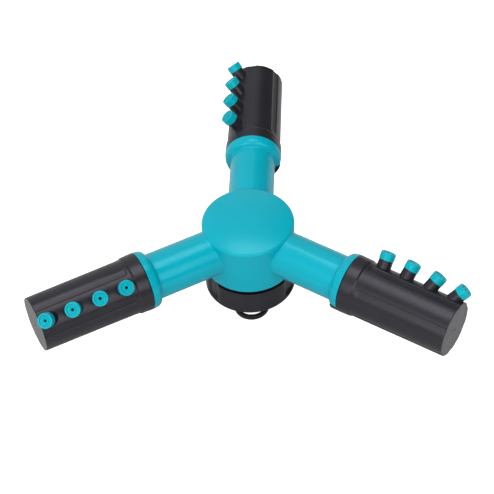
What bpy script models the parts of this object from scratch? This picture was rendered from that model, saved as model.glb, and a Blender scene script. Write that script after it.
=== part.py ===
"""Three-arm garden sprinkler head. Metres, +Z up, origin on the turning axis at the foot ring's lower face."""

from math import cos, pi, radians, sin, sqrt

import bmesh
import bpy
from mathutils import Matrix

MM = 0.001
GAP = 0.3 * MM

# Heights on the turning axis
ARM_Z = 60.3 * MM
HUB_BOTTOM = 43.4 * MM
HUB_RIM = 74.3 * MM
HUB_TOP = 77.0 * MM
NUT_BOTTOM = 25.3 * MM
NUT_TOP = 41.5 * MM
NUT_LIP_BOTTOM = 37.5 * MM
STEM_END = 7.5 * MM
RING_TOP = 3.0 * MM

# Hub
HUB_R = 26.45 * MM
HUB_FOOT_R = 26.1 * MM
HUB_EDGE = 2.0 * MM
HUB_SHOULDER = 5.6 * MM
HUB_CAVITY_R = 23.3 * MM
BEARING_TOP = 49.5 * MM

# Arms, by distance from the turning axis
ARM_AZIMUTHS = (90.0, 210.0, 330.0)
ARM_R = 13.1 * MM
ARM_BORE_R = 10.3 * MM
FLANGE_START = 60.2 * MM
FLANGE_END = 66.3 * MM
FLANGE_R = 16.75 * MM
SPIGOT_R = 13.0 * MM
SPIGOT_END = 76.3 * MM
SEAL_S = 70.8 * MM

# Sleeves
SLEEVE_END = 130.0 * MM
BAND_END = 73.5 * MM
BAND_R0 = 16.7 * MM
BAND_R1 = 16.5 * MM
BODY_R0 = 15.86 * MM
BODY_R1 = 15.56 * MM
SLEEVE_BORE_R = 13.35 * MM
FLUTES = 6
FLUTE_FIRST = 20.0
FLUTE_WIDTH = 5.0 * MM
FLUTE_DEPTH = 0.5 * MM

# Turning stops, by roll about the arm: each sleeve's lug runs in a window in its flange
SLEEVE_TURN = 45.0
LUG_FIRST = 194.0
LUG_LAST = 254.0
LUG_MARGIN = 1.5
LUG_R0 = 14.3 * MM
LUG_R1 = 16.6 * MM
LUG_FACE = 62.0 * MM

# Nozzles: where each axis crosses the arm's axis, its outward lean, and its tip's distance along itself
NOZZLE_ROLL = 49.8
NOZZLES = (
    (80.9 * MM, 0.0, 24.25 * MM),
    (92.2 * MM, 10.0, 24.86 * MM),
    (103.6 * MM, 20.5, 25.47 * MM),
    (114.9 * MM, 30.5, 26.09 * MM),
)
STUB_R = 4.0 * MM
STUB_BORE_R = 2.8 * MM
CAP_R = 4.2 * MM
CAP_HEIGHT = 4.15 * MM
PLUG_LENGTH = 5.0 * MM
JET_R = 0.65 * MM

# Coupling nut
NUT_R0 = 25.4 * MM
NUT_R1 = 26.0 * MM
NUT_BORE_R = 12.6 * MM
PAD_CENTRE = -84.3
RECESS_HALF = 14.1
RECESS_FLOOR_HALF = 4.6
RECESS_FLOOR_R = 24.3 * MM
NUT_FOOT = 1.4 * MM
THREAD_MAJOR_R = 16.6 * MM
THREAD_MINOR_R = 15.2 * MM
THREAD_PITCH = 2.309 * MM

# Stem
STEM_BORE_R = 7.0 * MM
JOURNAL_R = 10.3 * MM
TAIL_R = 9.3 * MM
COLLAR_R = 14.5 * MM
RING_R = 10.2 * MM
RING_BORE_R = 8.7 * MM
LEG_AZIMUTHS = (90.0, 210.0, 330.0)


def clear_scene():
    for obj in list(bpy.data.objects):
        bpy.data.objects.remove(obj, do_unlink=True)


def new_collection(name, hidden=False):
    collection = bpy.data.collections.new(name)
    bpy.context.scene.collection.children.link(collection)
    collection.hide_render = hidden
    return collection


def plastic(name, colour, roughness):
    material = bpy.data.materials.new(name)
    material.use_nodes = True
    shader = material.node_tree.nodes["Principled BSDF"]
    shader.inputs["Base Color"].default_value = (*colour, 1.0)
    shader.inputs["Roughness"].default_value = roughness
    return material


def add_object(name, mesh, frame=None):
    obj = bpy.data.objects.new(name, mesh)
    PARTS.objects.link(obj)
    if frame is not None:
        obj.matrix_world = frame
    return obj


def make_helper(obj):
    PARTS.objects.unlink(obj)
    CUTTERS.objects.link(obj)
    obj.hide_render = True
    obj.display_type = "WIRE"
    return obj


def lathe(name, profile, steps, frame=None):
    """Turns (radius, height) points about local Z. A profile that starts off the axis is closed into a ring."""
    mesh = bpy.data.meshes.new(name)
    count = len(profile)
    edges = [(i, i + 1) for i in range(count - 1)]
    if profile[0][0] > 0:
        edges.append((count - 1, 0))
    mesh.from_pydata([(r, 0.0, z) for r, z in profile], edges, [])
    obj = add_object(name, mesh, frame)
    screw = obj.modifiers.new("Turn", "SCREW")
    screw.axis = "Z"
    screw.steps = steps
    screw.render_steps = steps
    screw.use_merge_vertices = True
    screw.merge_threshold = 1e-5
    return obj


def prism(name, outline, z0, z1, frame=None):
    """A polygon given anticlockwise, drawn up from z0 to z1."""
    mesh = bpy.data.meshes.new(name)
    form = bmesh.new()
    base = [form.verts.new((x, y, z0)) for x, y in outline]
    face = form.faces.new(base)
    drawn = bmesh.ops.extrude_face_region(form, geom=[face])
    top = [v for v in drawn["geom"] if isinstance(v, bmesh.types.BMVert)]
    bmesh.ops.translate(form, verts=top, vec=(0.0, 0.0, z1 - z0))
    bmesh.ops.recalc_face_normals(form, faces=form.faces)
    form.to_mesh(mesh)
    form.free()
    return add_object(name, mesh, frame)


def sector(name, inner, outer, first, last, z0, z1, frame):
    """Part of a ring about local Z, between two rolls."""
    steps = round((last - first) / 7.5)
    rolls = [first + (last - first) * k / steps for k in range(steps + 1)]
    outline = [polar(outer, roll) for roll in rolls] + [polar(inner, roll) for roll in reversed(rolls)]
    return prism(name, outline, z0, z1, frame)


def rod(name, radius, z0, z1, steps, frame=None):
    return lathe(name, [(0.0, z1), (radius, z1), (radius, z0), (0.0, z0)], steps, frame)


def boolean(obj, operand, operation):
    modifier = obj.modifiers.new(operand.name, "BOOLEAN")
    modifier.operation = operation
    modifier.solver = "EXACT"
    modifier.object = make_helper(operand)
    return obj


def finish(obj, material, angle=32.0):
    """Makes the modifiers real, shades the round faces smooth and gives the piece its material."""
    bpy.context.view_layer.update()
    graph = bpy.context.evaluated_depsgraph_get()
    mesh = bpy.data.meshes.new_from_object(obj.evaluated_get(graph))
    obj.modifiers.clear()
    obj.data = mesh
    mesh.materials.clear()
    mesh.materials.append(material)
    mesh.polygons.foreach_set("use_smooth", [True] * len(mesh.polygons))
    mesh.set_sharp_from_angle(angle=radians(angle))
    return obj


def arm_frame(azimuth):
    """Local Z runs out along the arm, local X the way the head turns, and local Y up."""
    turn = Matrix.Rotation(radians(azimuth + 90.0), 4, "Z")
    tip = Matrix.Rotation(radians(90.0), 4, "X")
    return Matrix.Translation((0.0, 0.0, ARM_Z)) @ turn @ tip


def nozzle_frame(crossing, lean):
    """In an arm's frame: local Z runs out along the nozzle from where it crosses the arm's axis."""
    roll = Matrix.Rotation(radians(NOZZLE_ROLL), 4, "Z")
    swing = Matrix.Rotation(radians(90.0 - lean), 4, "Y")
    return Matrix.Translation((0.0, 0.0, crossing)) @ roll @ swing


def ring_section(radius, height, half, sides=6):
    """A round section for a seal, given so that its outer side runs down."""
    points = []
    for k in range(sides):
        angle = pi / 2 - 2 * pi * (k + 0.5) / sides
        points.append((radius + half * cos(angle), height + half * sin(angle)))
    return points


def polar(radius, azimuth):
    return radius * cos(radians(azimuth)), radius * sin(radians(azimuth))


def hub_profile():
    """The dome, its rounded edge, the wall, a little narrower at its foot, and the cavity, which is open below."""
    rise = HUB_TOP - HUB_RIM
    reach = HUB_R - HUB_EDGE
    ball = (reach * reach + rise * rise) / (2 * rise)
    points = [(0.0, HUB_TOP)]
    for k in range(1, 4):
        r = reach * k / 4
        points.append((r, HUB_TOP - ball + sqrt(ball * ball - r * r)))
    tilt = 75.0
    for k in range(4):
        angle = radians(tilt - tilt * k / 3)
        points.append((reach + HUB_EDGE * cos(angle), HUB_RIM - HUB_EDGE + HUB_EDGE * sin(angle)))
    points.append((HUB_FOOT_R, HUB_BOTTOM + 0.5 * MM))
    points.append((HUB_FOOT_R - 0.5 * MM, HUB_BOTTOM))
    points.append((HUB_CAVITY_R - 0.5 * MM, HUB_BOTTOM))
    points.append((HUB_CAVITY_R - 0.5 * MM, HUB_RIM - HUB_SHOULDER))
    points.append((HUB_CAVITY_R - 3.0 * MM, HUB_RIM - HUB_SHOULDER / 2))
    points.append((0.0, HUB_TOP - 3.2 * MM))
    return points


def arm_profile():
    """The tube, its flange and the spigot that carries the sleeve, from the outer end inwards."""
    return [
        (0.0, SPIGOT_END),
        (SPIGOT_R - 0.6 * MM, SPIGOT_END),
        (SPIGOT_R + 0.65 * MM, SPIGOT_END - 1.2 * MM),
        (SPIGOT_R, SPIGOT_END - 2.2 * MM),
        (SPIGOT_R, SEAL_S + 1.1 * MM),
        (SPIGOT_R - 1.8 * MM, SEAL_S + 1.1 * MM),
        (SPIGOT_R - 1.8 * MM, SEAL_S - 1.1 * MM),
        (SPIGOT_R, SEAL_S - 1.1 * MM),
        (SPIGOT_R, FLANGE_END),
        (FLANGE_R, FLANGE_END),
        (FLANGE_R - 0.2 * MM, FLANGE_END - 1.8 * MM),
        (FLANGE_R - 0.45 * MM, FLANGE_START + 2.5 * MM),
        (FLANGE_R - 1.0 * MM, FLANGE_START + 1.6 * MM),
        (FLANGE_R - 2.1 * MM, FLANGE_START + 0.7 * MM),
        (ARM_R, FLANGE_START),
        (ARM_R, 22.0 * MM),
        (0.0, 22.0 * MM),
    ]


def lug_window(number, azimuth):
    """The gap in a flange that its sleeve's lug turns in, from one stop to the other."""
    first = LUG_FIRST - LUG_MARGIN
    last = LUG_LAST + SLEEVE_TURN + LUG_MARGIN
    inner = LUG_R0 - GAP
    outer = FLANGE_R + MM
    z0 = FLANGE_START - MM
    z1 = FLANGE_END + 0.2 * MM
    return sector(f"lug_window_{number}", inner, outer, first, last, z0, z1, arm_frame(azimuth))


def build_hub():
    hub = lathe("rotor_hub", hub_profile(), 48)
    for number, azimuth in enumerate(ARM_AZIMUTHS, 1):
        arm = lathe(f"arm_form_{number}", arm_profile(), 30, arm_frame(azimuth))
        boolean(hub, arm, "UNION")
    cavity = rod("hub_cavity", HUB_CAVITY_R, HUB_BOTTOM - MM, HUB_RIM - HUB_SHOULDER, 48)
    boolean(hub, cavity, "DIFFERENCE")
    for number, azimuth in enumerate(ARM_AZIMUTHS, 1):
        bore = rod(f"arm_bore_{number}", ARM_BORE_R, 14.0 * MM, 80.0 * MM, 24, arm_frame(azimuth))
        boolean(hub, bore, "DIFFERENCE")
        boolean(hub, lug_window(number, azimuth), "DIFFERENCE")
    return finish(hub, TURQUOISE)


def sleeve_profile():
    """A cup whose closed end is outermost. The groove near its mouth snaps over the spigot's bead."""
    wall = 2.4 * MM
    return [
        (0.0, SLEEVE_END),
        (BODY_R1 - 0.35 * MM, SLEEVE_END),
        (BODY_R1, SLEEVE_END - 0.35 * MM),
        (BODY_R0, BAND_END + 1.0 * MM),
        (BAND_R1 - 0.1 * MM, BAND_END + 0.4 * MM),
        (BAND_R1, BAND_END),
        (BAND_R0, FLANGE_END + GAP + 0.4 * MM),
        (BAND_R0 - 0.3 * MM, FLANGE_END + GAP),
        (SLEEVE_BORE_R, FLANGE_END + GAP),
        (SLEEVE_BORE_R, SPIGOT_END - 2.7 * MM),
        (SLEEVE_BORE_R + 0.65 * MM, SPIGOT_END - 1.5 * MM),
        (SLEEVE_BORE_R + 0.65 * MM, SPIGOT_END - 0.8 * MM),
        (SLEEVE_BORE_R - 0.1 * MM, SPIGOT_END + 0.4 * MM),
        (BODY_R1 - wall, SLEEVE_END - 3.0 * MM),
        (BODY_R1 - wall - 0.6 * MM, SLEEVE_END - wall),
        (0.0, SLEEVE_END - wall),
    ]


def add_flutes(sleeve, number, frame):
    """Shallow lengthwise flutes for grip, open at the closed end and stopped short of the band."""
    half = FLUTE_WIDTH / 2
    for k in range(FLUTES):
        roll = Matrix.Rotation(radians(FLUTE_FIRST + k * 360.0 / FLUTES), 4, "Z")
        outline = [
            (BODY_R1 - FLUTE_DEPTH, -half + 0.7 * MM),
            (BODY_R0 + 1.2 * MM, -half - 0.5 * MM),
            (BODY_R0 + 1.2 * MM, half + 0.5 * MM),
            (BODY_R1 - FLUTE_DEPTH, half - 0.7 * MM),
        ]
        cutter = prism(f"flute_{number}_{k}", outline, BAND_END + 2.3 * MM, SLEEVE_END + MM, frame @ roll)
        boolean(sleeve, cutter, "DIFFERENCE")


def build_sleeve(number, azimuth):
    frame = arm_frame(azimuth)
    sleeve = lathe(f"sleeve_{number}", sleeve_profile(), 32, frame)
    lug_root = FLANGE_END + GAP + MM
    lug = sector(f"lug_form_{number}", LUG_R0, LUG_R1, LUG_FIRST, LUG_LAST, LUG_FACE, lug_root, frame)
    boolean(sleeve, lug, "UNION")
    add_flutes(sleeve, number, frame)
    for k, (crossing, lean, tip) in enumerate(NOZZLES, 1):
        place = frame @ nozzle_frame(crossing, lean)
        stub = rod(f"stub_{number}_{k}", STUB_R, 14.3 * MM, tip - CAP_HEIGHT - GAP, 16, place)
        boolean(sleeve, stub, "UNION")
    for k, (crossing, lean, tip) in enumerate(NOZZLES, 1):
        place = frame @ nozzle_frame(crossing, lean)
        bore = rod(f"stub_bore_{number}_{k}", STUB_BORE_R, 6.0 * MM, tip + MM, 12, place)
        boolean(sleeve, bore, "DIFFERENCE")
    return finish(sleeve, BLACK)


def cap_profile(tip):
    """The head with a raised ring round its jet, and the hollow plug that fits the stub's bore."""
    under = tip - CAP_HEIGHT
    return [
        (1.6 * MM, tip - 0.2 * MM),
        (1.9 * MM, tip - 0.7 * MM),
        (3.1 * MM, tip - 0.7 * MM),
        (3.3 * MM, tip),
        (CAP_R, tip),
        (CAP_R, under),
        (STUB_BORE_R - GAP, under),
        (STUB_BORE_R - GAP, under - PLUG_LENGTH),
        (1.7 * MM, under - PLUG_LENGTH),
        (1.7 * MM, tip - 2.2 * MM),
        (JET_R, tip - 1.6 * MM),
        (JET_R, tip - 0.2 * MM),
    ]


def build_caps(number, azimuth):
    for k, (crossing, lean, tip) in enumerate(NOZZLES, 1):
        place = arm_frame(azimuth) @ nozzle_frame(crossing, lean)
        finish(lathe(f"nozzle_{number}_{k}", cap_profile(tip), 14, place), TURQUOISE_NOZZLE)


def build_arm_seal(number, azimuth):
    section = ring_section(12.3 * MM, SEAL_S, 0.75 * MM)
    finish(lathe(f"arm_seal_{number}", section, 24, arm_frame(azimuth)), RUBBER, 60.0)


def build_bearing():
    """The ring that closes the hub from below, with the shaft seal in its groove and the washer that runs on it."""
    groove = JOURNAL_R + 2.4 * MM
    bore = JOURNAL_R + GAP
    ring = lathe("bearing_ring", [
        (HUB_CAVITY_R - GAP, BEARING_TOP),
        (HUB_CAVITY_R - GAP, HUB_BOTTOM + 0.3 * MM),
        (bore, HUB_BOTTOM + 0.3 * MM),
        (bore, 45.4 * MM),
        (groove, 45.4 * MM),
        (groove, 47.9 * MM),
        (bore, 47.9 * MM),
        (bore, BEARING_TOP),
    ], 36)
    finish(ring, BLACK_INNER)
    finish(lathe("shaft_seal", ring_section(11.5 * MM, 46.65 * MM, 0.9 * MM), 24), RUBBER, 60.0)
    washer = lathe("thrust_washer", [
        (14.0 * MM, 50.8 * MM),
        (14.0 * MM, 49.8 * MM),
        (10.7 * MM, 49.8 * MM),
        (10.7 * MM, 50.8 * MM),
    ], 28)
    finish(washer, WHITE)


def stem_profile():
    """From the head inside the hub, down past the collar that the nut bears on, to the open tail."""
    return [
        (9.0 * MM, 54.6 * MM),
        (9.0 * MM, 53.6 * MM),
        (13.7 * MM, 53.6 * MM),
        (14.0 * MM, 53.3 * MM),
        (14.0 * MM, 51.1 * MM),
        (JOURNAL_R, 51.1 * MM),
        (JOURNAL_R, 42.6 * MM),
        (NUT_BORE_R - GAP, 42.2 * MM),
        (NUT_BORE_R - GAP, NUT_LIP_BOTTOM - GAP),
        (COLLAR_R, NUT_LIP_BOTTOM - GAP),
        (COLLAR_R, 34.6 * MM),
        (TAIL_R, 34.6 * MM),
        (TAIL_R, STEM_END + 0.5 * MM),
        (TAIL_R - 0.4 * MM, STEM_END),
        (STEM_BORE_R, STEM_END),
        (STEM_BORE_R, 53.8 * MM),
        (STEM_BORE_R + 0.8 * MM, 54.6 * MM),
    ]


def build_stem():
    stem = lathe("inlet_stem", stem_profile(), 32)
    foot = lathe("foot_ring_form", [
        (RING_R - 0.3 * MM, RING_TOP),
        (RING_R, RING_TOP - 0.4 * MM),
        (RING_R, 0.4 * MM),
        (RING_R - 0.3 * MM, 0.0),
        (RING_BORE_R, 0.0),
        (RING_BORE_R, RING_TOP),
    ], 32)
    inner = STEM_BORE_R + 0.7 * MM
    outer = TAIL_R + 0.4 * MM
    for number, azimuth in enumerate(LEG_AZIMUTHS, 1):
        outline = [(inner, -1.6 * MM), (outer, -1.6 * MM), (outer, 1.6 * MM), (inner, 1.6 * MM)]
        turn = Matrix.Rotation(radians(azimuth), 4, "Z")
        leg = prism(f"leg_form_{number}", outline, RING_TOP - 1.2 * MM, STEM_END + 3.0 * MM, turn)
        boolean(foot, leg, "UNION")
    boolean(stem, foot, "UNION")
    return finish(stem, BLACK)


def nut_profile():
    """The outside tapers upwards. Inside are the lip, the washer's seat and the thread, as rings."""
    points = [
        (NUT_R0 - 0.7 * MM, NUT_TOP),
        (NUT_R0 - 0.2 * MM, NUT_TOP - 0.2 * MM),
        (NUT_R0, NUT_TOP - 0.7 * MM),
        (NUT_R1, NUT_BOTTOM + 0.5 * MM),
        (NUT_R1 - 0.4 * MM, NUT_BOTTOM),
        (THREAD_MAJOR_R + 0.2 * MM, NUT_BOTTOM),
    ]
    z = NUT_BOTTOM + 0.9 * MM
    for _ in range(2):
        points.append((THREAD_MINOR_R, z + 0.3 * MM))
        points.append((THREAD_MINOR_R, z + 0.7 * MM))
        points.append((THREAD_MAJOR_R, z + 1.45 * MM))
        points.append((THREAD_MAJOR_R, z + 1.75 * MM))
        z += THREAD_PITCH
    points.append((THREAD_MINOR_R, z + 0.3 * MM))
    points.append((THREAD_MINOR_R, z + 0.8 * MM))
    points.append((THREAD_MAJOR_R + 0.3 * MM, z + 1.3 * MM))
    points.append((THREAD_MAJOR_R + 0.3 * MM, NUT_LIP_BOTTOM))
    points.append((NUT_BORE_R, NUT_LIP_BOTTOM))
    points.append((NUT_BORE_R, NUT_TOP))
    return points


def build_nut():
    nut = lathe("coupling_nut", nut_profile(), 48)
    for k in range(3):
        centre = PAD_CENTRE + 60.0 + 120.0 * k
        outline = [
            polar(RECESS_FLOOR_R, centre - RECESS_FLOOR_HALF),
            polar(NUT_R1 + 0.2 * MM, centre - RECESS_HALF),
            polar(NUT_R1 + 4.0 * MM, centre - RECESS_HALF),
            polar(NUT_R1 + 4.0 * MM, centre + RECESS_HALF),
            polar(NUT_R1 + 0.2 * MM, centre + RECESS_HALF),
            polar(RECESS_FLOOR_R, centre + RECESS_FLOOR_HALF),
        ]
        cutter = prism(f"recess_{k}", outline, NUT_BOTTOM + NUT_FOOT, NUT_TOP + MM)
        boolean(nut, cutter, "DIFFERENCE")
    finish(nut, BLACK)
    washer = lathe("nut_washer", [
        (16.3 * MM, 34.3 * MM),
        (16.3 * MM, 32.1 * MM),
        (TAIL_R + GAP, 32.1 * MM),
        (TAIL_R + GAP, 34.3 * MM),
    ], 28)
    finish(washer, RUBBER)


clear_scene()
PARTS = new_collection("sprinkler")
CUTTERS = new_collection("cutters", hidden=True)
TURQUOISE = plastic("turquoise_plastic", (0.008, 0.40, 0.51), 0.35)
TURQUOISE_NOZZLE = plastic("turquoise_nozzle_plastic", (0.005, 0.42, 0.50), 0.38)
BLACK = plastic("black_plastic", (0.045, 0.045, 0.050), 0.45)
BLACK_INNER = plastic("black_inner_plastic", (0.030, 0.030, 0.032), 0.50)
RUBBER = plastic("black_rubber", (0.015, 0.015, 0.015), 0.75)
WHITE = plastic("white_acetal", (0.80, 0.79, 0.76), 0.40)

build_stem()
build_nut()
build_bearing()
build_hub()
for arm_number, arm_azimuth in enumerate(ARM_AZIMUTHS, 1):
    build_arm_seal(arm_number, arm_azimuth)
    build_sleeve(arm_number, arm_azimuth)
    build_caps(arm_number, arm_azimuth)
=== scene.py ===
"""Looks of the three-arm sprinkler head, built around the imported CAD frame. Metres, +Z up."""

from math import asin, cos, pi, radians, sin, sqrt

import bpy
import numpy as np
from mathutils import Matrix, Vector


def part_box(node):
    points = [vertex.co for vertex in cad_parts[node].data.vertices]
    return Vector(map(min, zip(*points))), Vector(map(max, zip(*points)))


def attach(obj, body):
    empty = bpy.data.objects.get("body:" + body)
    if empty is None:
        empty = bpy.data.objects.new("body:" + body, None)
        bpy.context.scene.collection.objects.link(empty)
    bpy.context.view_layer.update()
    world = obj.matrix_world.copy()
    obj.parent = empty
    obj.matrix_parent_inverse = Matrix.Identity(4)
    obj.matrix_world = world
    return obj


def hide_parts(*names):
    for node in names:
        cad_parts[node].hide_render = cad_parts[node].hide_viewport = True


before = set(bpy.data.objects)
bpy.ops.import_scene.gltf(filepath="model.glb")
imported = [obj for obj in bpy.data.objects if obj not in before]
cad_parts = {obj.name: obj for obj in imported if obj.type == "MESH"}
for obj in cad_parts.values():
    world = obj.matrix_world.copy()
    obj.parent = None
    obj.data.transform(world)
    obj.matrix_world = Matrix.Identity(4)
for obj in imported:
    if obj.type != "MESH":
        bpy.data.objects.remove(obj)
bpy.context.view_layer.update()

MM = 0.001

# Sizes of the head, as in the frame
ARM_Z = 60.3 * MM
HUB_BOTTOM = 43.4 * MM
HUB_RIM = 74.3 * MM
HUB_TOP = 77.0 * MM
HUB_R = 26.45 * MM
HUB_FOOT_R = 26.1 * MM
HUB_EDGE = 2.0 * MM
HUB_SHOULDER = 5.6 * MM
NUT_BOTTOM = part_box("coupling_nut")[0].z
NUT_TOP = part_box("coupling_nut")[1].z
FLANGE_START = 60.2 * MM
FLANGE_END = 66.3 * MM
FLANGE_R = 16.75 * MM
BAND_END = 73.5 * MM
BODY_R = 15.86 * MM
END_R = 15.56 * MM
SLEEVE_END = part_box("sleeve_1")[1].y

ARM_AZIMUTHS = (90.0, 210.0, 330.0)
NOZZLE_ROLL = 49.8
NOZZLES = (
    (80.9 * MM, 0.0, 24.25 * MM),
    (92.2 * MM, 10.0, 24.86 * MM),
    (103.6 * MM, 20.5, 25.47 * MM),
    (114.9 * MM, 30.5, 26.09 * MM),
)
CAP_HEIGHT = 4.15 * MM

# Turning stops, by roll about the arm
SLEEVE_TURN = 45.0
LUG_FIRST = 194.0
LUG_LAST = 254.0
LUG_MARGIN = 1.5


# ---------------------------------------------------------------- mesh tools

def rounded(corners, closed=False, pieces=4):
    """A profile from (radius, height, rounding) corners, each rounding drawn as a short curve."""
    count = len(corners)
    points = []
    for i, corner in enumerate(corners):
        here = Vector(corner[:2])
        reach = corner[2] if len(corner) > 2 else 0.0
        inside = closed or 0 < i < count - 1
        if reach <= 0 or not inside:
            points.append((here.x, here.y))
            continue
        before = Vector(corners[(i - 1) % count][:2]) - here
        after = Vector(corners[(i + 1) % count][:2]) - here
        start = here + before.normalized() * min(reach, before.length * 0.49)
        end = here + after.normalized() * min(reach, after.length * 0.49)
        for k in range(pieces + 1):
            t = k / pieces
            point = start * (1 - t) ** 2 + here * 2 * t * (1 - t) + end * t * t
            points.append((point.x, point.y))
    return points


def skin(name, rings, closed):
    """Joins equal rings of points in turn: a closed set last to first, an open one with a pole at each end."""
    rings = [np.asarray(ring, dtype=float) for ring in rings]
    count, around = len(rings), len(rings[0])
    points = np.concatenate(rings)
    faces = []
    for i in range(count if closed else count - 1):
        a, b = i * around, ((i + 1) % count) * around
        for j in range(around):
            k = (j + 1) % around
            faces.append((a + j, b + j, b + k, a + k))
    if not closed:
        poles = np.array([rings[0].mean(axis=0), rings[-1].mean(axis=0)])
        points = np.concatenate([points, poles])
        top, bottom, last = count * around, count * around + 1, (count - 1) * around
        for j in range(around):
            k = (j + 1) % around
            faces.append((top, j, k))
            faces.append((bottom, last + k, last + j))
    mesh = bpy.data.meshes.new(name)
    mesh.from_pydata(points.tolist(), [], faces)
    obj = bpy.data.objects.new(name, mesh)
    bpy.context.scene.collection.objects.link(obj)
    return obj


def turned(name, profile, steps, shift=None):
    """A profile turned about local Z, its outer side first. shift(angles, r, z) may move the radii."""
    angles = np.arange(steps) * 2 * pi / steps
    rings = []
    closed = profile[0][0] > 0
    for r, z in profile:
        if r <= 0:
            continue
        radii = np.full(steps, r)
        if shift is not None:
            radii = radii + shift(angles, r, z)
        rings.append(np.stack([radii * np.cos(angles), radii * np.sin(angles), np.full(steps, z)], axis=1))
    return skin(name, rings, closed)


def spaced(profile, longest):
    """The same profile with its long stretches split, so that relief on it has points to move."""
    points = [profile[0]]
    for (r0, z0), (r1, z1) in zip(profile, profile[1:]):
        parts = max(1, int(sqrt((r1 - r0) ** 2 + (z1 - z0) ** 2) / longest + 0.999))
        for k in range(1, parts + 1):
            points.append((r0 + (r1 - r0) * k / parts, z0 + (z1 - z0) * k / parts))
    return points


def apply_all(obj):
    """Makes the modifiers real."""
    bpy.context.view_layer.update()
    graph = bpy.context.evaluated_depsgraph_get()
    mesh = bpy.data.meshes.new_from_object(obj.evaluated_get(graph))
    obj.modifiers.clear()
    obj.data = mesh
    return obj


def boolean(obj, operand, operation):
    """Joins the operand to the object or cuts it away, and removes the operand."""
    modifier = obj.modifiers.new(operation, "BOOLEAN")
    modifier.operation = operation
    modifier.solver = "EXACT"
    modifier.object = operand
    apply_all(obj)
    bpy.data.objects.remove(operand, do_unlink=True)
    return obj


def smooth(obj, angle):
    """Shades smooth, with edges over the angle kept sharp and the large faces leading the normals."""
    mesh = obj.data
    mesh.polygons.foreach_set("use_smooth", [True] * len(mesh.polygons))
    mesh.set_sharp_from_angle(angle=radians(angle))
    modifier = obj.modifiers.new("Even", "WEIGHTED_NORMAL")
    modifier.keep_sharp = True
    modifier.weight = 60
    return obj


def put(obj, matrix):
    """Moves the points themselves, so that the object stays at the origin."""
    obj.data.transform(matrix)
    return obj


def arm_matrix(azimuth):
    """Local Z runs out along the arm, local X the way the head turns, and local Y up."""
    turn = Matrix.Rotation(radians(azimuth + 90.0), 4, "Z")
    tip = Matrix.Rotation(radians(90.0), 4, "X")
    return Matrix.Translation((0.0, 0.0, ARM_Z)) @ turn @ tip


def nozzle_matrix(crossing, lean):
    roll = Matrix.Rotation(radians(NOZZLE_ROLL), 4, "Z")
    swing = Matrix.Rotation(radians(90.0 - lean), 4, "Y")
    return Matrix.Translation((0.0, 0.0, crossing)) @ roll @ swing


# ---------------------------------------------------------------- materials

class Nodes:
    """Short calls for a material's node tree."""

    def __init__(self, name):
        self.material = bpy.data.materials.new(name)
        self.material.use_nodes = True
        self.tree = self.material.node_tree
        self.shader = self.tree.nodes["Principled BSDF"]
        self.place = self.add("ShaderNodeTexCoord").outputs["Object"]

    def add(self, kind, **settings):
        node = self.tree.nodes.new(kind)
        for key, value in settings.items():
            setattr(node, key, value)
        return node

    def link(self, source, target):
        self.tree.links.new(source, target)

    def noise(self, scale, detail, rough):
        node = self.add("ShaderNodeTexNoise")
        node.inputs["Scale"].default_value = scale
        node.inputs["Detail"].default_value = detail
        node.inputs["Roughness"].default_value = rough
        self.link(self.place, node.inputs["Vector"])
        return node.outputs["Fac"]

    def ramp(self, source, stops):
        node = self.add("ShaderNodeValToRGB")
        elements = node.color_ramp.elements
        while len(elements) < len(stops):
            elements.new(0.5)
        for element, (position, colour) in zip(elements, stops):
            element.position = position
            element.color = (*colour, 1.0)
        self.link(source, node.inputs["Fac"])
        return node.outputs["Color"]

    def span(self, source, low, high, out_low, out_high):
        node = self.add("ShaderNodeMapRange")
        node.inputs["From Min"].default_value = low
        node.inputs["From Max"].default_value = high
        node.inputs["To Min"].default_value = out_low
        node.inputs["To Max"].default_value = out_high
        self.link(source, node.inputs["Value"])
        return node.outputs["Result"]

    def bump(self, sources, distance):
        """Adds (height, strength) sources one on the other."""
        normal = None
        for height, strength in sources:
            node = self.add("ShaderNodeBump")
            node.inputs["Strength"].default_value = strength
            node.inputs["Distance"].default_value = distance
            self.link(height, node.inputs["Height"])
            if normal is not None:
                self.link(normal, node.inputs["Normal"])
            normal = node.outputs["Normal"]
        self.link(normal, self.shader.inputs["Normal"])


def shade(colour, factor):
    return tuple(min(1.0, c * factor) for c in colour)


def moulded(name, colour, rough, vary=0.06, grain=0.10, specular=0.5, sheen=(1.0, 1.0, 1.0)):
    """Injection-moulded plastic: faint colour drift, uneven gloss, spark texture and slow flow waves."""
    n = Nodes(name)
    drift = n.noise(55.0, 4.0, 0.55)
    tint = n.ramp(drift, [(0.30, shade(colour, 1 - vary)), (0.70, shade(colour, 1 + vary))])
    n.link(tint, n.shader.inputs["Base Color"])
    gloss = n.span(n.noise(120.0, 5.0, 0.6), 0.25, 0.75, rough - 0.03, rough + 0.04)
    n.link(gloss, n.shader.inputs["Roughness"])
    n.bump([(n.noise(3800.0, 2.0, 0.6), grain), (n.noise(240.0, 2.0, 0.5), grain * 0.6)], 0.12 * MM)
    n.shader.inputs["Specular IOR Level"].default_value = specular
    n.shader.inputs["IOR"].default_value = 1.48
    n.shader.inputs["Specular Tint"].default_value = (*sheen, 1.0)
    return n.material


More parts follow.
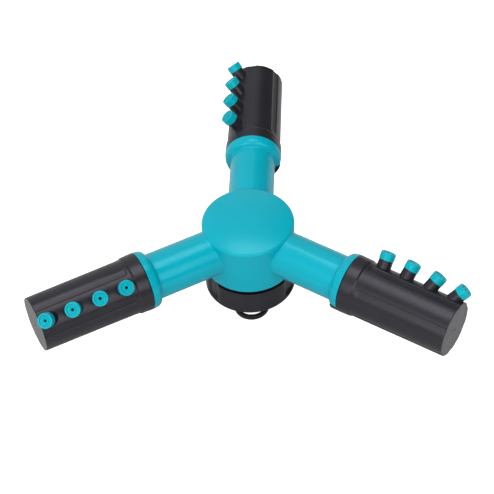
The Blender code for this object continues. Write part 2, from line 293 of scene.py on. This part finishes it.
def floor_material():
    """Pale paper with painted shade that makes it darker right under the head, and lifted for the camera so that
    it stays pale in the shade.
    """
    n = Nodes("studio_floor")
    reach = n.add("ShaderNodeVectorMath", operation="LENGTH")
    n.link(n.place, reach.inputs[0])
    # Painted shade: the floor's colour goes from grey close under the head to pale further out.
    fade = n.span(reach.outputs["Value"], 0.07, 0.17, 0.0, 1.0)
    tint = n.ramp(fade, [(0.0, (0.50, 0.50, 0.50)), (1.0, (0.82, 0.82, 0.82))])
    n.link(tint, n.shader.inputs["Base Color"])
    n.shader.inputs["Roughness"].default_value = 0.9
    n.shader.inputs["Specular IOR Level"].default_value = 0.1
    n.shader.inputs["Emission Color"].default_value = (1.0, 1.0, 1.0, 1.0)
    n.link(n.add("ShaderNodeLightPath").outputs["Is Camera Ray"], n.shader.inputs["Emission Strength"])
    return n.material


COOL = (0.42, 1.0, 1.0)
COOLER = (0.25, 1.0, 1.0)
FAINT_COOL = (0.90, 0.88, 1.0)

TURQUOISE = moulded("turquoise_moulding", (0.0, 0.415, 0.535), 0.21, vary=0.03, grain=0.025, sheen=COOL)
CAP_TURQUOISE = moulded("turquoise_cap_moulding", (0.0, 0.42, 0.51), 0.26, vary=0.03, grain=0.03, sheen=COOLER)
BLACK = moulded(
    "black_moulding", (0.0145, 0.0140, 0.0175), 0.31, vary=0.12, grain=0.06, specular=0.45, sheen=FAINT_COOL)
INNER_BLACK = moulded("black_inner_moulding", (0.028, 0.028, 0.030), 0.5, vary=0.12, grain=0.12)
RUBBER = moulded("seal_rubber", (0.014, 0.014, 0.015), 0.72, vary=0.2, grain=0.25)
WHITE = moulded("white_acetal", (0.78, 0.77, 0.74), 0.4, vary=0.02, grain=0.04)


def dress(obj, material, slot, body, *nodes):
    obj.data.materials.clear()
    obj.data.materials.append(material)
    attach(obj, body)
    if nodes:
        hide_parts(*nodes)
    return obj


# ---------------------------------------------------------------- the head

def hub_corners():
    """The low dome, its rounded edge, the wall with the mould's seam, and the cavity below the dome."""
    rise = HUB_TOP - HUB_RIM
    reach = HUB_R - HUB_EDGE
    ball = (reach * reach + rise * rise) / (2 * rise)
    slope = asin(reach / ball)
    dome = [(0.0, HUB_TOP)]
    for k in range(1, 25):
        r = reach * k / 24
        dome.append((r, HUB_TOP - ball + sqrt(ball * ball - r * r)))
    edge = []
    for k in range(13):
        angle = slope + (pi / 2 - slope) * k / 12
        r = reach - HUB_EDGE * reach / ball + HUB_EDGE * sin(angle)
        edge.append((r, HUB_RIM - HUB_EDGE * cos(slope) + HUB_EDGE * cos(angle)))
    wide = edge[-1][0]
    seam = wide - 0.15 * MM
    wall = rounded([
        edge[-1],
        (seam, ARM_Z + 0.18 * MM),
        (seam + 0.1 * MM, ARM_Z),
        (seam, ARM_Z - 0.18 * MM),
        (HUB_FOOT_R, HUB_BOTTOM, 0.5 * MM),
        (22.9 * MM, HUB_BOTTOM, 0.2 * MM),
        (22.9 * MM, HUB_RIM - HUB_SHOULDER, 1.5 * MM),
        (20.3 * MM, HUB_RIM - HUB_SHOULDER / 2, 1.0 * MM),
        (0.0, HUB_TOP - 3.2 * MM),
    ])
    return spaced(dome[:-1] + edge + wall[1:], 1.2 * MM)


def arm_corners():
    """The spigot with its snap bead and seal groove, the flange with its leaning inner face, and the tube."""
    seal = 70.8 * MM
    return spaced(rounded([
        (0.0, 76.3 * MM),
        (12.4 * MM, 76.3 * MM, 0.2 * MM),
        (13.65 * MM, 75.1 * MM, 0.4 * MM),
        (13.0 * MM, 74.1 * MM, 0.2 * MM),
        (13.0 * MM, seal + 1.1 * MM, 0.15 * MM),
        (11.2 * MM, seal + 1.1 * MM, 0.15 * MM),
        (11.2 * MM, seal - 1.1 * MM, 0.15 * MM),
        (13.0 * MM, seal - 1.1 * MM, 0.15 * MM),
        (13.0 * MM, FLANGE_END, 0.1 * MM),
        (FLANGE_R, FLANGE_END, 0.35 * MM),
        (16.35 * MM, FLANGE_START + 2.6 * MM, 1.0 * MM),
        (15.3 * MM, FLANGE_START + 1.0 * MM, 1.1 * MM),
        (13.1 * MM, FLANGE_START, 0.4 * MM),
        (13.06 * MM, 22.0 * MM),
        (0.0, 22.0 * MM),
    ]), 1.2 * MM)


def sector(name, levels):
    """A stack of ring sectors, each given as (height, inner, outer, first roll, last roll)."""
    points, faces = [], []
    steps = 48
    count = 2 * (steps + 1)
    for z, inner, outer, first, last in levels:
        rolls = [radians(first + (last - first) * k / steps) for k in range(steps + 1)]
        points += [(outer * cos(roll), outer * sin(roll), z) for roll in rolls]
        points += [(inner * cos(roll), inner * sin(roll), z) for roll in reversed(rolls)]
    for level in range(len(levels) - 1):
        a, b = level * count, (level + 1) * count
        for i in range(count):
            k = (i + 1) % count
            faces.append((a + i, a + k, b + k, b + i))
    for k in range(steps):
        near, far = count - 1 - k, count - 2 - k
        faces.append((near, far, k + 1, k))
        base = (len(levels) - 1) * count
        faces.append((base + k, base + k + 1, base + far, base + near))
    mesh = bpy.data.meshes.new(name)
    mesh.from_pydata(points, [], faces)
    obj = bpy.data.objects.new(name, mesh)
    bpy.context.scene.collection.objects.link(obj)
    return obj


def window_form():
    """The gap in a flange that the sleeve's lug turns in."""
    first, last = LUG_FIRST - LUG_MARGIN, LUG_LAST + SLEEVE_TURN + LUG_MARGIN
    inner, outer = 14.0 * MM, FLANGE_R + MM
    low, high = FLANGE_START - MM, FLANGE_END + 0.2 * MM
    return sector("window_form", [(low, inner, outer, first, last), (high, inner, outer, first, last)])


def build_hub():
    hub = turned("hub_moulding", hub_corners(), 192)
    for azimuth in ARM_AZIMUTHS:
        arm = put(turned("arm_form", arm_corners(), 144), arm_matrix(azimuth))
        boolean(hub, arm, "UNION")
    shoulder = HUB_RIM - HUB_SHOULDER
    tool = [(0.0, shoulder), (23.3 * MM, shoulder), (23.3 * MM, HUB_BOTTOM - MM), (0.0, HUB_BOTTOM - MM)]
    boolean(hub, turned("cavity_tool", tool, 128), "DIFFERENCE")
    for azimuth in ARM_AZIMUTHS:
        tool = [(0.0, 80 * MM), (10.3 * MM, 80 * MM), (10.3 * MM, 14 * MM), (0.0, 14 * MM)]
        boolean(hub, put(turned("bore_tool", tool, 64), arm_matrix(azimuth)), "DIFFERENCE")
        boolean(hub, put(window_form(), arm_matrix(azimuth)), "DIFFERENCE")
    smooth(hub, 28.0)
    return dress(hub, TURQUOISE, "turquoise_plastic", "rotor", "rotor_hub")


# ---------------------------------------------------------------- the sleeves

FLUTE_CENTRES = tuple(20.0 + 60.0 * k for k in range(6))
FLUTE_HALF = 2.3 * MM
FLUTE_DEPTH = 0.42 * MM
FLUTE_START = BAND_END + 2.0 * MM


def ease(t):
    t = np.clip(t, 0.0, 1.0)
    return t * t * (3 - 2 * t)


def flute_depth(angles, r, z):
    """How far the sleeve's skin is sunk: six lengthwise hollows with round ends, open at the closed end."""
    if r < 14.6 * MM or z < FLUTE_START:
        return 0.0
    total = np.zeros_like(angles)
    for centre in FLUTE_CENTRES:
        away = (angles - radians(centre) + pi) % (2 * pi) - pi
        across = np.abs(away) * r
        nose = FLUTE_START + FLUTE_HALF
        short = max(0.0, nose - z)
        inside = 1.0 - (across ** 2 + short ** 2) / FLUTE_HALF ** 2
        total = total + np.clip(inside, 0.0, 1.0) ** 0.5
    return -FLUTE_DEPTH * total


def sleeve_corners():
    """The closed end with its gate mark, the body, the band, the mouth, and the inside with its snap groove."""
    wall = 2.4 * MM
    start = FLANGE_END + 0.3 * MM
    return rounded([
        (0.0, SLEEVE_END - 0.25 * MM),
        (0.5 * MM, SLEEVE_END - 0.25 * MM),
        (0.7 * MM, SLEEVE_END),
        (END_R, SLEEVE_END, 0.45 * MM),
        (BODY_R, BAND_END + 0.9 * MM, 0.3 * MM),
        (16.45 * MM, BAND_END, 0.5 * MM),
        (16.7 * MM, start, 0.3 * MM),
        (13.35 * MM, start, 0.25 * MM),
        (13.35 * MM, 73.6 * MM, 0.2 * MM),
        (14.0 * MM, 74.8 * MM, 0.2 * MM),
        (14.0 * MM, 75.5 * MM, 0.2 * MM),
        (13.25 * MM, 76.7 * MM, 0.2 * MM),
        (END_R - wall, SLEEVE_END - 3.0 * MM, 0.4 * MM),
        (14.9 * MM - wall, SLEEVE_END - wall, 0.4 * MM),
        (0.0, SLEEVE_END - wall),
    ], pieces=5)


def sleeve_profile():
    """The corners, split finely where the flutes run and more coarsely inside."""
    points = sleeve_corners()
    turn = max(range(len(points)), key=lambda i: points[i][0])
    outside = points[:turn + 1]
    inside = points[turn:]
    ends = FLUTE_START + 6.5 * MM
    fine = [outside[0]]
    for (r0, z0), (r1, z1) in zip(outside, outside[1:]):
        if z0 > ends > z1:
            middle = (r0 + (r1 - r0) * (z0 - ends) / (z0 - z1), ends)
            fine += spaced([(r0, z0), middle], 2.5 * MM)[1:]
            fine += spaced([middle, (r1, z1)], 0.28 * MM)[1:]
        else:
            fine += spaced([(r0, z0), (r1, z1)], 1.2 * MM)[1:]
    return fine + spaced(inside, 2.5 * MM)[1:]


def stub_form(tip):
    """One jet stub, a little slimmer under its cap."""
    top = tip - CAP_HEIGHT - 0.05 * MM
    return spaced(rounded([
        (0.0, top),
        (3.95 * MM, top, 0.15 * MM),
        (4.05 * MM, 15.9 * MM),
        (4.05 * MM, 14.3 * MM),
        (0.0, 14.3 * MM),
    ]), 1.0 * MM)


def lug_form():
    """The stop that stands out of the sleeve's mouth, with its free edges eased."""
    full = (14.3 * MM, 16.6 * MM, LUG_FIRST, LUG_LAST)
    eased = (14.55 * MM, 16.35 * MM, LUG_FIRST + 0.9, LUG_LAST - 0.9)
    face = 62.0 * MM
    root = FLANGE_END + 1.3 * MM
    return sector("lug_form", [(face, *eased), (face + 0.25 * MM, *full), (root, *full)])


def build_sleeve(number, azimuth):
    sleeve = turned(f"sleeve_moulding_{number}", sleeve_profile(), 432, flute_depth)
    boolean(sleeve, lug_form(), "UNION")
    for crossing, lean, tip in NOZZLES:
        stub = put(turned("stub_form", stub_form(tip), 72), nozzle_matrix(crossing, lean))
        boolean(sleeve, stub, "UNION")
    for crossing, lean, tip in NOZZLES:
        tool = [(0.0, tip + MM), (2.8 * MM, tip + MM), (2.8 * MM, 6 * MM), (0.0, 6 * MM)]
        boolean(sleeve, put(turned("bore_tool", tool, 40), nozzle_matrix(crossing, lean)), "DIFFERENCE")
    put(sleeve, arm_matrix(azimuth))
    smooth(sleeve, 28.0)
    return dress(sleeve, BLACK, "black_plastic", f"arm_{number}", f"sleeve_{number}")


def cap_corners(tip):
    """The raised outer rim, the sunk ring, the hub of the jet with its hole, and the plug inside the stub."""
    under = tip - CAP_HEIGHT
    face = tip - 0.75 * MM
    return rounded([
        (1.85 * MM, tip - 0.2 * MM, 0.2 * MM),
        (2.05 * MM, face, 0.12 * MM),
        (2.9 * MM, face, 0.2 * MM),
        (3.2 * MM, tip, 0.2 * MM),
        (4.2 * MM, tip, 0.3 * MM),
        (4.24 * MM, under, 0.12 * MM),
        (2.5 * MM, under, 0.1 * MM),
        (2.5 * MM, under - 5.0 * MM, 0.2 * MM),
        (1.7 * MM, under - 5.0 * MM, 0.1 * MM),
        (1.7 * MM, tip - 2.2 * MM, 0.1 * MM),
        (0.75 * MM, tip - 1.6 * MM, 0.1 * MM),
        (0.75 * MM, tip - 0.7 * MM, 0.1 * MM),
        (1.25 * MM, tip - 0.2 * MM, 0.15 * MM),
    ], closed=True)


def build_caps(number, azimuth):
    for k, (crossing, lean, tip) in enumerate(NOZZLES, 1):
        cap = turned(f"jet_cap_{number}_{k}", cap_corners(tip), 64)
        put(cap, arm_matrix(azimuth) @ nozzle_matrix(crossing, lean))
        smooth(cap, 40.0)
        dress(cap, CAP_TURQUOISE, "turquoise_nozzle", f"arm_{number}", f"nozzle_{number}_{k}")


# ---------------------------------------------------------------- the nut and stem

PAD_CENTRE = -84.3
RECESS_HALF = 14.1
RECESS_FLOOR_HALF = 5.0
RECESS_DEPTH = 1.35 * MM


def recess_depth(angles, r, z):
    """Three sunk panels between the grip pads, open at the top and stopped above the foot."""
    if r < 24.0 * MM:
        return 0.0
    foot = NUT_BOTTOM + 1.4 * MM
    fade = float(ease((z - foot) / (0.9 * MM)))
    total = np.zeros_like(angles)
    for k in range(3):
        away = np.degrees((angles - radians(PAD_CENTRE + 60.0 + 120.0 * k) + pi) % (2 * pi) - pi)
        total = total + ease((RECESS_HALF - np.abs(away)) / (RECESS_HALF - RECESS_FLOOR_HALF))
    return -RECESS_DEPTH * fade * total


def nut_corners():
    """The wall, the foot, the thread as plain ridges, the washer's seat, and the sunk ring in the top."""
    major, minor = 16.6 * MM, 15.2 * MM
    pitch = 2.309 * MM
    rim = NUT_TOP - 1.3 * MM
    corners = [
        (25.45 * MM, rim, 0.4 * MM),
        (26.0 * MM, NUT_BOTTOM, 0.5 * MM),
        (16.8 * MM, NUT_BOTTOM, 0.3 * MM),
    ]
    z = NUT_BOTTOM + 0.9 * MM
    for _ in range(2):
        corners += [
            (minor, z + 0.3 * MM, 0.1 * MM),
            (minor, z + 0.7 * MM, 0.1 * MM),
            (major, z + 1.45 * MM, 0.1 * MM),
            (major, z + 1.75 * MM, 0.1 * MM),
        ]
        z += pitch
    corners += [
        (minor, z + 0.3 * MM, 0.1 * MM),
        (minor, z + 0.8 * MM, 0.1 * MM),
        (16.9 * MM, z + 1.3 * MM, 0.1 * MM),
        (16.9 * MM, 37.5 * MM, 0.3 * MM),
        (12.6 * MM, 37.5 * MM, 0.15 * MM),
        (12.6 * MM, NUT_TOP, 0.4 * MM),
        (20.5 * MM, NUT_TOP, 0.4 * MM),
        (20.5 * MM, rim - 1.4 * MM, 0.3 * MM),
        (24.7 * MM, rim - 1.4 * MM, 0.3 * MM),
        (24.7 * MM, rim, 0.2 * MM),
    ]
    return corners


def build_nut():
    profile = rounded(nut_corners(), closed=True)
    wall = [i for i, (r, z) in enumerate(profile) if r > 25.0 * MM]
    split = spaced(profile[wall[0]:wall[-1] + 1], 0.3 * MM)
    fine = NUT_BOTTOM + 3 * MM
    split = [point for i, point in enumerate(split) if point[1] < fine or i < 6 or i % 6 == 0]
    profile = profile[:wall[0]] + split + profile[wall[-1] + 1:]
    nut = turned("grip_nut", profile, 540, recess_depth)
    smooth(nut, 35.0)
    return dress(nut, BLACK, "black_plastic", "nut", "coupling_nut")


def build_stem():
    """The axle with its head, collar and tail, and the foot ring on its three legs."""
    stem = turned("stem_moulding", rounded([
        (9.0 * MM, 54.6 * MM, 0.2 * MM),
        (9.0 * MM, 53.6 * MM, 0.2 * MM),
        (14.0 * MM, 53.6 * MM, 0.3 * MM),
        (14.0 * MM, 51.1 * MM, 0.2 * MM),
        (10.3 * MM, 51.1 * MM, 0.2 * MM),
        (10.3 * MM, 42.6 * MM, 0.2 * MM),
        (12.3 * MM, 42.2 * MM, 0.2 * MM),
        (12.3 * MM, 37.2 * MM, 0.1 * MM),
        (14.5 * MM, 37.2 * MM, 0.3 * MM),
        (14.5 * MM, 34.6 * MM, 0.3 * MM),
        (9.3 * MM, 34.6 * MM, 0.3 * MM),
        (9.3 * MM, 7.5 * MM, 0.4 * MM),
        (7.0 * MM, 7.5 * MM, 0.3 * MM),
        (7.0 * MM, 54.6 * MM, 0.5 * MM),
    ], closed=True), 128)
    ring = turned("ring_form", rounded([
        (10.35 * MM, 3.0 * MM, 0.4 * MM),
        (10.35 * MM, 0.0, 0.4 * MM),
        (8.3 * MM, 0.0, 0.3 * MM),
        (8.3 * MM, 3.0 * MM, 0.4 * MM),
    ], closed=True), 128)
    for azimuth in ARM_AZIMUTHS:
        leg = leg_form()
        put(leg, Matrix.Rotation(radians(azimuth), 4, "Z"))
        boolean(ring, leg, "UNION")
    boolean(stem, ring, "UNION")
    smooth(stem, 30.0)
    return dress(stem, BLACK, "black_plastic", "stem", "inlet_stem")


def leg_form():
    """One of the three slim legs that carry the foot ring below the tail."""
    rings = []
    for z, half, grow in ((11.0, 1.6, 0.0), (10.5, 1.6, 0.2), (7.5, 1.6, 0.2), (4.5, 1.6, 0.2), (1.9, 1.9, 0.2)):
        inner, outer = 7.7, 9.5 + grow
        corners = ((inner, -half), (outer, -half), (outer, half), (inner, half))
        rings.append([(x * MM, y * MM, z * MM) for x, y in corners])
    return skin("leg_form", rings, False)


def dress_inner_nodes():
    """Better materials on the CAD nodes that stay: the bearing ring, the washers and the seals."""
    inner = {
        "bearing_ring": INNER_BLACK,
        "thrust_washer": WHITE,
        "shaft_seal": RUBBER,
        "nut_washer": RUBBER,
        "arm_seal_1": RUBBER,
        "arm_seal_2": RUBBER,
        "arm_seal_3": RUBBER,
    }
    for name, material in inner.items():
        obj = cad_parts[name]
        if not obj.material_slots:
            obj.data.materials.append(material)
        for slot in obj.material_slots:
            slot.material = material


# ---------------------------------------------------------------- studio

CAMERA_DISTANCE = 860.62 * MM
CAMERA_HEIGHT_ANGLE = 47.319
CAMERA_AZIMUTH = -90.0 + 4.376
CAMERA_YAW = 0.0757
CAMERA_PITCH = -0.3414
CAMERA_ROLL = 2.6941
LENS = 1523.83 * 36.0 / 494.0


def build_camera():
    """Looks down on the hub's centre from in front, with the small turns of the real camera."""
    angle, height = radians(CAMERA_AZIMUTH), radians(CAMERA_HEIGHT_ANGLE)
    away = Vector((cos(angle) * cos(height), sin(angle) * cos(height), sin(height)))
    forward = -away
    right = forward.cross(Vector((0.0, 0.0, 1.0))).normalized()
    up = right.cross(forward)
    for degree, axis in ((CAMERA_YAW, "up"), (CAMERA_PITCH, "right"), (CAMERA_ROLL, "forward")):
        about = {"up": up, "right": right, "forward": forward}[axis]
        turn = Matrix.Rotation(radians(degree), 3, about)
        forward, right, up = turn @ forward, turn @ right, turn @ up
    data = bpy.data.cameras.new("camera")
    data.lens = LENS
    data.sensor_width = 36.0
    data.clip_start = 0.02
    data.clip_end = 40.0
    camera = bpy.data.objects.new("camera", data)
    bpy.context.scene.collection.objects.link(camera)
    turned_to = Matrix((right, up, -forward)).transposed().to_4x4()
    camera.matrix_world = Matrix.Translation(away * CAMERA_DISTANCE + Vector((0.0, 0.0, ARM_Z))) @ turned_to
    bpy.context.scene.camera = camera


BACKDROP = 1.0
ROOM_LEFT = 0.68
ROOM_RIGHT = 0.14


def panel(name, place, target, size, radiance, size_y=None):
    """A soft panel of the given brightness. A flat light sends out pi times its area and its radiance."""
    data = bpy.data.lights.new(name, "AREA")
    data.shape = "RECTANGLE"
    data.size = size
    data.size_y = size_y or size
    data.energy = radiance * pi * data.size * data.size_y
    light = bpy.data.objects.new(name, data)
    bpy.context.scene.collection.objects.link(light)
    light.location = place
    light.rotation_mode = "QUATERNION"
    light.rotation_quaternion = (Vector(target) - Vector(place)).to_track_quat("-Z", "Y")


def build_world():
    """Bright from the left and behind, dim from the right, with a pale backdrop for the camera."""
    world = bpy.data.worlds.new("studio")
    bpy.context.scene.world = world
    world.use_nodes = True
    tree = world.node_tree
    room = tree.nodes["Background"]
    backdrop = tree.nodes.new("ShaderNodeBackground")
    backdrop.inputs["Strength"].default_value = BACKDROP
    place = tree.nodes.new("ShaderNodeTexCoord")
    split = tree.nodes.new("ShaderNodeSeparateXYZ")
    span = tree.nodes.new("ShaderNodeMapRange")
    span.interpolation_type = "SMOOTHSTEP"
    span.inputs["From Min"].default_value = 0.05
    span.inputs["From Max"].default_value = 0.30
    span.inputs["To Min"].default_value = ROOM_LEFT
    span.inputs["To Max"].default_value = ROOM_RIGHT
    path = tree.nodes.new("ShaderNodeLightPath")
    mix = tree.nodes.new("ShaderNodeMixShader")
    tree.links.new(place.outputs["Generated"], split.inputs["Vector"])
    tree.links.new(split.outputs["X"], span.inputs["Value"])
    tree.links.new(span.outputs["Result"], room.inputs["Strength"])
    tree.links.new(path.outputs["Is Camera Ray"], mix.inputs["Fac"])
    tree.links.new(room.outputs["Background"], mix.inputs[1])
    tree.links.new(backdrop.outputs["Background"], mix.inputs[2])
    tree.links.new(mix.outputs["Shader"], tree.nodes["World Output"].inputs["Surface"])
    room.inputs["Color"].default_value = (1.0, 1.0, 1.0, 1.0)
    backdrop.inputs["Color"].default_value = (1.0, 1.0, 1.0, 1.0)


def build_floor():
    """A wide sheet just under the foot ring."""
    size = 6.0
    mesh = bpy.data.meshes.new("floor")
    corners = [(-size, -size, 0.0), (size, -size, 0.0), (size, size, 0.0), (-size, size, 0.0)]
    mesh.from_pydata(corners, [], [(0, 1, 2, 3)])
    floor = bpy.data.objects.new("floor", mesh)
    bpy.context.scene.collection.objects.link(floor)
    floor.location.z = -0.0005
    mesh.materials.append(floor_material())


def build_studio():
    build_world()
    build_floor()
    middle = (0.0, 0.0, 0.06)
    panel("overhead", (0.02, 0.14, 1.25), middle, 0.70, 3.1, 0.70)
    panel("front_left", (-0.60, -1.15, 0.92), middle, 0.90, 2.1)
    panel("front_right", (0.60, -1.15, 0.92), middle, 0.90, 2.8)
    view = bpy.context.scene.view_settings
    view.view_transform = "Standard"
    view.look = "None"
    view.exposure = 0.0
    view.gamma = 1.0


build_camera()
build_hub()
for arm_number, arm_azimuth in enumerate(ARM_AZIMUTHS, 1):
    build_sleeve(arm_number, arm_azimuth)
    build_caps(arm_number, arm_azimuth)
build_nut()
build_stem()
dress_inner_nodes()
build_studio()
